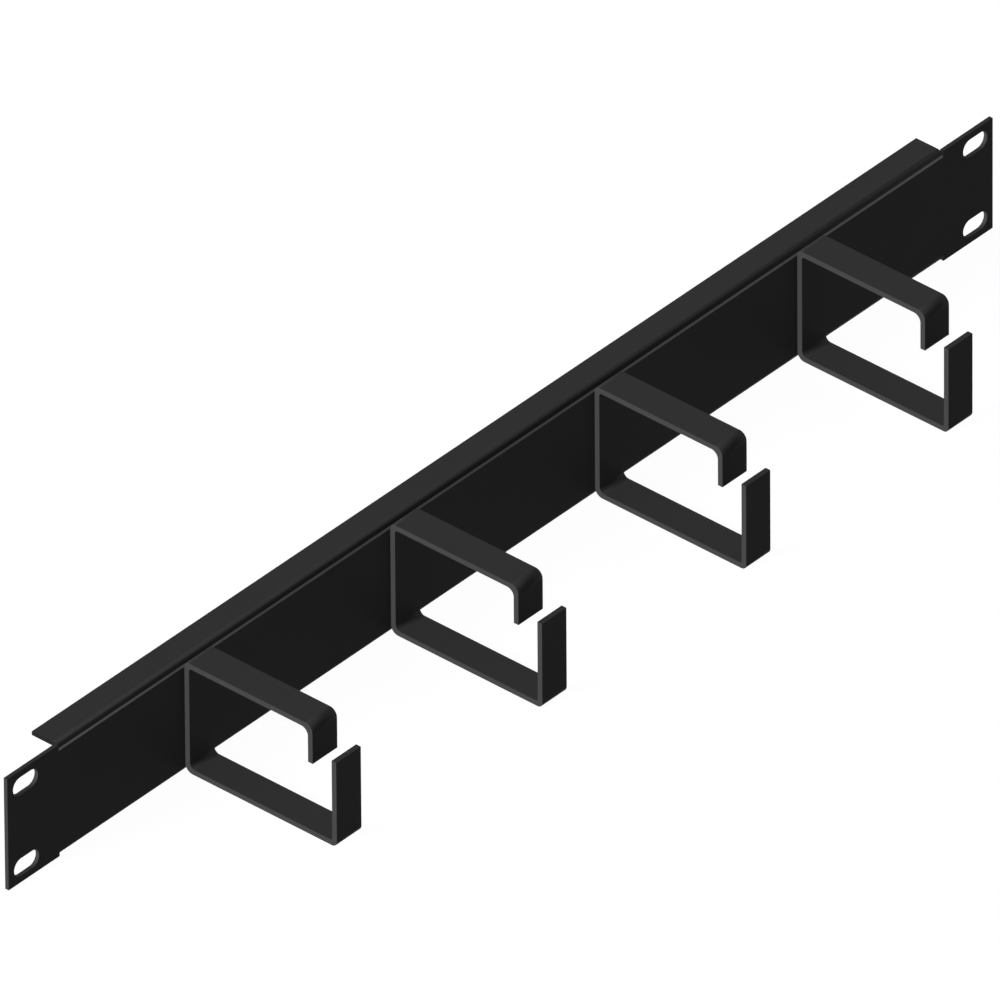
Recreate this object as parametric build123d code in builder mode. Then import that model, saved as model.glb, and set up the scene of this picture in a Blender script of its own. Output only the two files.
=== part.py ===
from build123d import *
import os

# Horizontal cable manager, one unit high, for a 19 inch rack
# A folded sheet panel with slotted ears carries four rings bent from flat strip.
# Lengths are in millimetres. +X runs along the panel to the right, -Y points out of
# the front of the rack and +Z is up. The origin is the middle of the four ear slots,
# on the rear face of the ears, which lies on the rack's rails.

# Rack fixing: the holes of the rails set the spacing, and the panel ends a margin past them
slot_spacing_x = 465.1
slot_spacing_z = 31.75
slot_length = 12.0
slot_height = 6.8
slot_to_ear_end = 8.75
slot_to_ear_edge = 5.95

# Panel sheet
sheet_thickness = 1.5
sheet_bend_radius = 0.9
flange_depth = 10.0
ear_width = 24.8
relief_width = 0.2
relief_past_bend = 0.4

# Rings: the inner and the outer radius of each corner are given apart
ring_count = 4
ring_pitch = 100.0
strip_width = 12.0
strip_thickness = 2.0
ring_edge_margin = 0.2
upper_arm_reach = 54.4
lip_gap = 8.0
upper_lip_drop = 15.0
lip_overlap = 5.1
top_front_outer = 3.0
top_front_inner = 2.8
top_back_outer = 2.2
top_back_inner = 1.0
bottom_back_outer = 3.0
bottom_back_inner = 2.0
bottom_front_outer = 2.2
bottom_front_inner = 0.6

# Spot welds, marked only where the electrode pressed the rear of the panel
welds_per_ring = 2
weld_spacing = 18.0
weld_diameter = 5.0
weld_depth = 0.15

# Worked out from the sizes above
panel_width = slot_spacing_x + 2 * slot_to_ear_end
panel_height = slot_spacing_z + 2 * slot_to_ear_edge
folded_length = panel_width - 2 * ear_width
front_face_y = -sheet_thickness
edge_z = panel_height / 2
outer_bend = sheet_bend_radius + sheet_thickness
relief_depth = outer_bend + relief_past_bend
relief_x = folded_length / 2 + relief_width / 2
ring_top_z = edge_z - ring_edge_margin
upper_lip_y = front_face_y - upper_arm_reach
lower_lip_y = upper_lip_y - lip_gap - strip_thickness
upper_lip_end_z = ring_top_z - upper_lip_drop
lower_lip_end_z = upper_lip_end_z + lip_overlap
ring_inside_z = ring_top_z - strip_thickness
upper_lip_inside_y = upper_lip_y + strip_thickness
lower_lip_inside_y = lower_lip_y + strip_thickness
leg_inside_y = front_face_y - strip_thickness
ring_places = [ring_pitch * (number - (ring_count - 1) / 2) for number in range(ring_count)]
outer_radii = [top_front_outer, top_back_outer, bottom_back_outer, bottom_front_outer]
inner_radii = [top_front_inner, top_back_inner, bottom_back_inner, bottom_front_inner]


# The panel: a channel folded from one sheet, with both flanges pointing back
with BuildPart() as front_panel:
    with BuildSketch(Plane.YZ):
        with BuildLine():
            FilletPolyline(
                (flange_depth, edge_z),
                (front_face_y, edge_z),
                (front_face_y, -edge_z),
                (flange_depth, -edge_z),
                radius=outer_bend,
            )
            offset(amount=sheet_thickness, side=Side.LEFT)
        make_face()
    extrude(amount=folded_length / 2, both=True)

    # The ears stay flat at the full height of the sheet
    with BuildSketch(Plane.XZ):
        Rectangle(panel_width, panel_height)
        Rectangle(folded_length, panel_height, mode=Mode.SUBTRACT)
    extrude(amount=sheet_thickness)

    # Slits that let the folds turn beside the flat ears
    with BuildSketch(Plane.XZ):
        with GridLocations(2 * relief_x, panel_height - relief_depth, 2, 2):
            Rectangle(relief_width, relief_depth)
    extrude(amount=sheet_thickness, mode=Mode.SUBTRACT)

    # Slots for the rack screws
    with BuildSketch(Plane.XZ):
        with GridLocations(slot_spacing_x, slot_spacing_z, 2, 2):
            SlotOverall(slot_length, slot_height)
    extrude(amount=sheet_thickness, mode=Mode.SUBTRACT)

    # Shallow marks of the spot welds on the rear face, one above the other behind each ring
    with BuildSketch(Plane.XZ):
        with GridLocations(ring_pitch, weld_spacing, ring_count, welds_per_ring):
            Circle(weld_diameter / 2)
    extrude(amount=weld_depth, mode=Mode.SUBTRACT)

front_panel.part.label = "front_panel"

os.makedirs("parts", exist_ok=True)
export_step(front_panel.part, "parts/front_panel.step")

# The rings: one strip each, bent from the upper lip over the back leg to the lower lip
for number, ring_x in enumerate(ring_places, start=1):
    with BuildPart() as cable_ring:
        with BuildSketch(Plane.YZ.offset(ring_x)):
            with BuildLine():
                outer = FilletPolyline(
                    (upper_lip_y, upper_lip_end_z),
                    (upper_lip_y, ring_top_z),
                    (front_face_y, ring_top_z),
                    (front_face_y, -ring_top_z),
                    (lower_lip_y, -ring_top_z),
                    (lower_lip_y, lower_lip_end_z),
                    radius=outer_radii,
                )
                inner = FilletPolyline(
                    (upper_lip_inside_y, upper_lip_end_z),
                    (upper_lip_inside_y, ring_inside_z),
                    (leg_inside_y, ring_inside_z),
                    (leg_inside_y, -ring_inside_z),
                    (lower_lip_inside_y, -ring_inside_z),
                    (lower_lip_inside_y, lower_lip_end_z),
                    radius=inner_radii,
                )
                Line(outer @ 0, inner @ 0)
                Line(outer @ 1, inner @ 1)
            make_face()
        extrude(amount=strip_width / 2, both=True)

    cable_ring.part.label = f"cable_ring_{number}"
    export_step(cable_ring.part, f"parts/cable_ring_{number}.step")
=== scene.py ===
import math

import bpy
from mathutils import Matrix, Vector


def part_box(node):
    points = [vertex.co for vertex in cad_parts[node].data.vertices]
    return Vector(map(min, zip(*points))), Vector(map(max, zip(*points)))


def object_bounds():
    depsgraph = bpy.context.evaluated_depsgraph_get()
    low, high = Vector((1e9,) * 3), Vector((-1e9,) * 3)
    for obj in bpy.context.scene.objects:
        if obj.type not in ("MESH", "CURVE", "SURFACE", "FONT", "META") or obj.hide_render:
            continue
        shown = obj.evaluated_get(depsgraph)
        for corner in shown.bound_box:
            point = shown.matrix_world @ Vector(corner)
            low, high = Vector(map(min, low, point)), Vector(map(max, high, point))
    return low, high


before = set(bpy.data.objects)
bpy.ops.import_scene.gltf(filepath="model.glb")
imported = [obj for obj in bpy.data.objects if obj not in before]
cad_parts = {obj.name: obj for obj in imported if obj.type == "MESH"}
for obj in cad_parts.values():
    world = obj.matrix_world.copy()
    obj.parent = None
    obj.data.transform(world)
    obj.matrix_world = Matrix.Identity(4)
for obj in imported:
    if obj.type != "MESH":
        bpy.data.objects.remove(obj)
cad_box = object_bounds()
panel_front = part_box("front_panel")[0].y

MM = 0.001
WHITE = (1.0, 1.0, 1.0, 1.0)

# Camera: a very long lens far away, so that the panel's edges stay parallel as in the photograph
VIEW_AZIMUTH = math.radians(-48.74)
VIEW_ELEVATION = math.radians(35.52)
VIEW_ROLL = math.radians(-0.4)
LENS_MM = 1700.0
SENSOR_MM = 36.0
PICTURE_SIDE = 321.65 * MM
MIDDLE_TO_RIGHT = -1.65 * MM
MIDDLE_TO_TOP = 0.25 * MM
CLIP_END_IN_DISTANCES = 4

# Studio: a wide lamp beyond the panel's left end, weaker ones at its right end, in front of it
# and below it, where a white floor throws light up, and an even glow from floor and sky. Only a
# small share of the first lamp casts shadows, so that the one on the floor stays faint.
KEY_TOWARDS = Vector((-2.16, 0.54, 0.83))
KEY_THAT_SHADES = 0.05
SIDE_TOWARDS = Vector((0.5, 0, 0))
FRONT_TOWARDS = Vector((0, -0.137, 0))
BELOW_TOWARDS = Vector((0, 0, -0.31))
LAMP_WIDTH = math.radians(22)
EVEN_GLOW = 0.04
FLOOR_DROP = 0.05 * MM
FLOOR_WHITE = 0.475
FLOOR_SHADE = (0.6, 0.6, 0.6, 1.0)
FLOOR_HALF_SIDE = 8.0

# Powder coat: matte black, with a fine grain and a slow drift of tone
COAT_COLOUR = (0.029, 0.029, 0.029)
GRAIN = {"Scale": 1800.0, "Detail": 3.0, "Roughness": 0.55}
DRIFT = {"Scale": 40.0, "Detail": 2.0, "Roughness": 0.5}
TONE_LEAST = 0.9
TONE_FROM_GRAIN = 0.1
TONE_FROM_DRIFT = 0.1
ROUGHNESS_LEAST = 0.55
ROUGHNESS_FROM_GRAIN = 0.1
SPECULAR_LEVEL = 0.02
GRAIN_DEPTH = 0.05 * MM
GRAIN_STRENGTH = 0.15

# The panel's top fold: a painted highlight, a pale line along it, and painted shade, a darker band
# behind the line
HIGHLIGHT_COLOUR = (0.19, 0.19, 0.19, 1.0)
HIGHLIGHT_HEIGHTS = (19.38 * MM, 20.33 * MM)
HIGHLIGHT_FRONT_OF = -0.8 * MM
HIGHLIGHT_LEAST = 0.8
HIGHLIGHT_FROM_DRIFT = 0.4
FOLD_SHADE_HEIGHTS = (20.45 * MM, 21.42 * MM)
FOLD_SHADE_TONE = 0.42
FOLD_HALF_LENGTH = 216.4 * MM

# The slits beside the ears: painted shade darkens their walls
SLIT_PLACES = (216.43 * MM, 216.77 * MM)
SLIT_FROM_HEIGHT = 19.1 * MM
SLIT_SHADE_TONE = 0.3

# The painted highlight and the painted shade of the band and of the slits fade over this much to
# either side of their limits
FADE = 0.08 * MM

# Edges of sheet and strip: points that lie on each other are joined, then the edges are rounded
WELD_WITHIN = 0.001 * MM
EDGE_ROUND = 0.1 * MM
EDGE_STEPS = 2
EDGE_SHARPER_THAN = math.radians(35)


class Value:
    """A node's output. Where it is a number, sums and products with it add Math nodes."""

    def __init__(self, tree, socket):
        self.tree = tree
        self.socket = socket

    def math(self, operation, *others):
        inputs = [self, *others]
        return self.tree.add("ShaderNodeMath", {"operation": operation}, dict(enumerate(inputs)))

    def __add__(self, other):
        return self.math("ADD", other)

    def __sub__(self, other):
        return self.math("SUBTRACT", other)

    def __mul__(self, other):
        return self.math("MULTIPLY", other)

    def __rsub__(self, other):
        return self.tree.add("ShaderNodeMath", {"operation": "SUBTRACT"}, {0: other, 1: self})

    __radd__ = __add__
    __rmul__ = __mul__


class Tree:
    """The nodes of one material or of the world."""

    def __init__(self, holder):
        holder.use_nodes = True
        self.tree = holder.node_tree
        self.tree.nodes.clear()

    def add(self, kind, settings=None, inputs=None, output=0):
        """Adds a node, with its settings first and then what its sockets hold or link to."""
        node = self.tree.nodes.new(kind)
        for name, value in (settings or {}).items():
            setattr(node, name, value)
        for name, value in (inputs or {}).items():
            if isinstance(value, Value):
                self.tree.links.new(value.socket, node.inputs[name])
            else:
                node.inputs[name].default_value = value
        return Value(self, node.outputs[output]) if node.outputs else node


def new_material(name):
    material = bpy.data.materials.new(name)
    material.cycles.emission_sampling = "NONE"
    return material


def placed(name, data):
    """A new object of the scene that shows a mesh or holds a lamp or a camera."""
    holder = bpy.data.objects.new(name, data)
    bpy.context.scene.collection.objects.link(holder)
    return holder


def above(nodes, value, limit):
    """1 where the value is over the limit and 0 where it is under, with a soft change."""
    return nodes.add(
        "ShaderNodeMapRange",
        {"interpolation_type": "SMOOTHSTEP"},
        {"Value": value, "From Min": limit - FADE, "From Max": limit + FADE},
    )


def between(nodes, value, limits):
    return above(nodes, value, limits[0]) * (1.0 - above(nodes, value, limits[1]))


def fold_highlight_and_shade(nodes, place, drift):
    """What the painted shade on the fold and in the slits leaves of the coat's tone, and the
    painted highlight's share.
    """
    along, depth, height = (
        nodes.add("ShaderNodeSeparateXYZ", inputs={"Vector": place}, output=axis)
        for axis in "XYZ"
    )
    from_middle = along.math("ABSOLUTE")
    on_fold = 1.0 - above(nodes, from_middle, FOLD_HALF_LENGTH)
    # Painted shade: a darker band across the fold, behind its highlight
    fold_shade = on_fold * between(nodes, height, FOLD_SHADE_HEIGHTS)
    # Painted shade on the walls of the slits beside the ears
    past_slit_end = above(nodes, height.math("ABSOLUTE"), SLIT_FROM_HEIGHT)
    slit_shade = between(nodes, from_middle, SLIT_PLACES) * past_slit_end
    tone_after_shade = 1.0 - (1.0 - FOLD_SHADE_TONE) * fold_shade - (1.0 - SLIT_SHADE_TONE) * slit_shade
    # Painted highlight: a pale line along the fold, near its front
    in_front = 1.0 - above(nodes, depth, HIGHLIGHT_FRONT_OF)
    highlight = on_fold * between(nodes, height, HIGHLIGHT_HEIGHTS) * in_front
    return tone_after_shade, highlight * (HIGHLIGHT_LEAST + HIGHLIGHT_FROM_DRIFT * drift)


def powder_coat(name, has_fold=False):
    material = new_material(name)
    nodes = Tree(material)
    place = nodes.add("ShaderNodeTexCoord", output="Object")
    grain = nodes.add("ShaderNodeTexNoise", inputs={"Vector": place, **GRAIN})
    drift = nodes.add("ShaderNodeTexNoise", inputs={"Vector": place, **DRIFT})
    tone = TONE_LEAST + TONE_FROM_GRAIN * grain + TONE_FROM_DRIFT * drift
    # The panel's fold gets painted shade and a painted highlight
    if has_fold:
        tone_after_shade, highlight = fold_highlight_and_shade(nodes, place, drift)
        tone = tone * tone_after_shade
    colour = nodes.add(
        "ShaderNodeVectorMath", {"operation": "SCALE"}, {0: COAT_COLOUR, "Scale": tone}
    )
    # The painted highlight is mixed over the coat's colour
    if has_fold:
        colour = nodes.add(
            "ShaderNodeMix", {"data_type": "RGBA"}, {0: highlight, 6: colour, 7: HIGHLIGHT_COLOUR}, output=2
        )
    relief = nodes.add(
        "ShaderNodeBump",
        inputs={"Height": grain, "Strength": GRAIN_STRENGTH, "Distance": GRAIN_DEPTH},
    )
    shader = nodes.add(
        "ShaderNodeBsdfPrincipled",
        inputs={
            "Base Color": colour,
            "Roughness": ROUGHNESS_LEAST + ROUGHNESS_FROM_GRAIN * grain,
            "Specular IOR Level": SPECULAR_LEVEL,
            "Normal": relief,
        },
    )
    nodes.add("ShaderNodeOutputMaterial", inputs={"Surface": shader})
    return material


def studio_floor():
    """White to the camera and in reflections, with the object's faint shadow. It gives the
    object an even glow, and is clear from below, so that the underside can be seen."""
    low = cad_box[0].z - FLOOR_DROP
    side = FLOOR_HALF_SIDE
    corners = [(-side, -side, low), (side, -side, low), (side, side, low), (-side, side, low)]
    mesh = bpy.data.meshes.new("studio_floor")
    mesh.from_pydata(corners, [], [(0, 1, 2, 3)])
    floor = placed("studio_floor", mesh)
    floor.visible_shadow = False
    material = new_material("studio_floor")
    nodes = Tree(material)
    is_diffuse = nodes.add("ShaderNodeLightPath", output="Is Diffuse Ray")
    shade = nodes.add("ShaderNodeBsdfDiffuse", inputs={"Color": FLOOR_SHADE})
    white = nodes.add("ShaderNodeEmission", inputs={"Strength": FLOOR_WHITE})
    seen = nodes.add("ShaderNodeAddShader", inputs={0: shade, 1: white})
    glow = nodes.add("ShaderNodeEmission", inputs={"Strength": EVEN_GLOW})
    lit = nodes.add("ShaderNodeMixShader", inputs={0: is_diffuse, 1: seen, 2: glow})
    from_below = nodes.add("ShaderNodeNewGeometry", output="Backfacing")
    clear = nodes.add("ShaderNodeBsdfTransparent", inputs={"Color": WHITE})
    surface = nodes.add("ShaderNodeMixShader", inputs={0: from_below, 1: lit, 2: clear})
    nodes.add("ShaderNodeOutputMaterial", inputs={"Surface": surface})
    mesh.materials.append(material)


def studio_sky():
    """White behind the object and in reflections, and an even glow on it."""
    world = bpy.data.worlds.new("studio_sky")
    bpy.context.scene.world = world
    world.cycles.sampling_method = "NONE"
    nodes = Tree(world)
    is_diffuse = nodes.add("ShaderNodeLightPath", output="Is Diffuse Ray")
    strength = 1.0 - (1.0 - EVEN_GLOW) * is_diffuse
    sky = nodes.add("ShaderNodeBackground", inputs={"Color": WHITE, "Strength": strength})
    nodes.add("ShaderNodeOutputWorld", inputs={"Surface": sky})


def lamp(name, towards, share=1.0, shades=False):
    """A wide lamp, far off. White that faces it renders as the vector's length times the share."""
    light = bpy.data.lights.new(name, "SUN")
    light.angle = LAMP_WIDTH
    light.energy = towards.length * share * math.pi
    light.use_shadow = shades
    holder = placed(name, light)
    holder.rotation_euler = towards.to_track_quat("Z", "Y").to_euler()


def camera():
    right = Vector((math.cos(VIEW_AZIMUTH), math.sin(VIEW_AZIMUTH), 0))
    back = Vector(
        (
            math.sin(VIEW_AZIMUTH) * math.cos(VIEW_ELEVATION),
            -math.cos(VIEW_AZIMUTH) * math.cos(VIEW_ELEVATION),
            math.sin(VIEW_ELEVATION),
        )
    )
    upright = Matrix((right, back.cross(right), back)).transposed()
    turned = upright @ Matrix.Rotation(VIEW_ROLL, 3, "Z")
    distance = LENS_MM / SENSOR_MM * PICTURE_SIDE
    middle = Vector((0, panel_front, 0)) + turned @ Vector((MIDDLE_TO_RIGHT, MIDDLE_TO_TOP, 0))
    place = middle + turned @ Vector((0, 0, distance))
    lens = bpy.data.cameras.new("camera")
    lens.lens = LENS_MM
    lens.sensor_width = SENSOR_MM
    lens.clip_end = CLIP_END_IN_DISTANCES * distance
    holder = placed("camera", lens)
    holder.matrix_world = Matrix.Translation(place) @ turned.to_4x4()
    bpy.context.scene.camera = holder


# The panel's coat carries the painted highlight and painted shade of its fold and slits
panel_coat = powder_coat("powder_coat_panel", has_fold=True)
ring_coat = powder_coat("powder_coat_rings")
for name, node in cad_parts.items():
    node.data.materials.clear()
    node.data.materials.append(panel_coat if name == "front_panel" else ring_coat)
    weld = node.modifiers.new("weld", "WELD")
    weld.merge_threshold = WELD_WITHIN
    edges = node.modifiers.new("edges", "BEVEL")
    edges.width = EDGE_ROUND
    edges.segments = EDGE_STEPS
    edges.limit_method = "ANGLE"
    edges.angle_limit = EDGE_SHARPER_THAN
    edges.harden_normals = True

camera()
studio_floor()
studio_sky()
lamp("key_lamp", KEY_TOWARDS, KEY_THAT_SHADES, shades=True)
lamp("key_fill", KEY_TOWARDS, 1 - KEY_THAT_SHADES)
lamp("side_fill", SIDE_TOWARDS)
lamp("front_fill", FRONT_TOWARDS)
lamp("floor_bounce", BELOW_TOWARDS)

bpy.context.scene.view_settings.view_transform = "Standard"
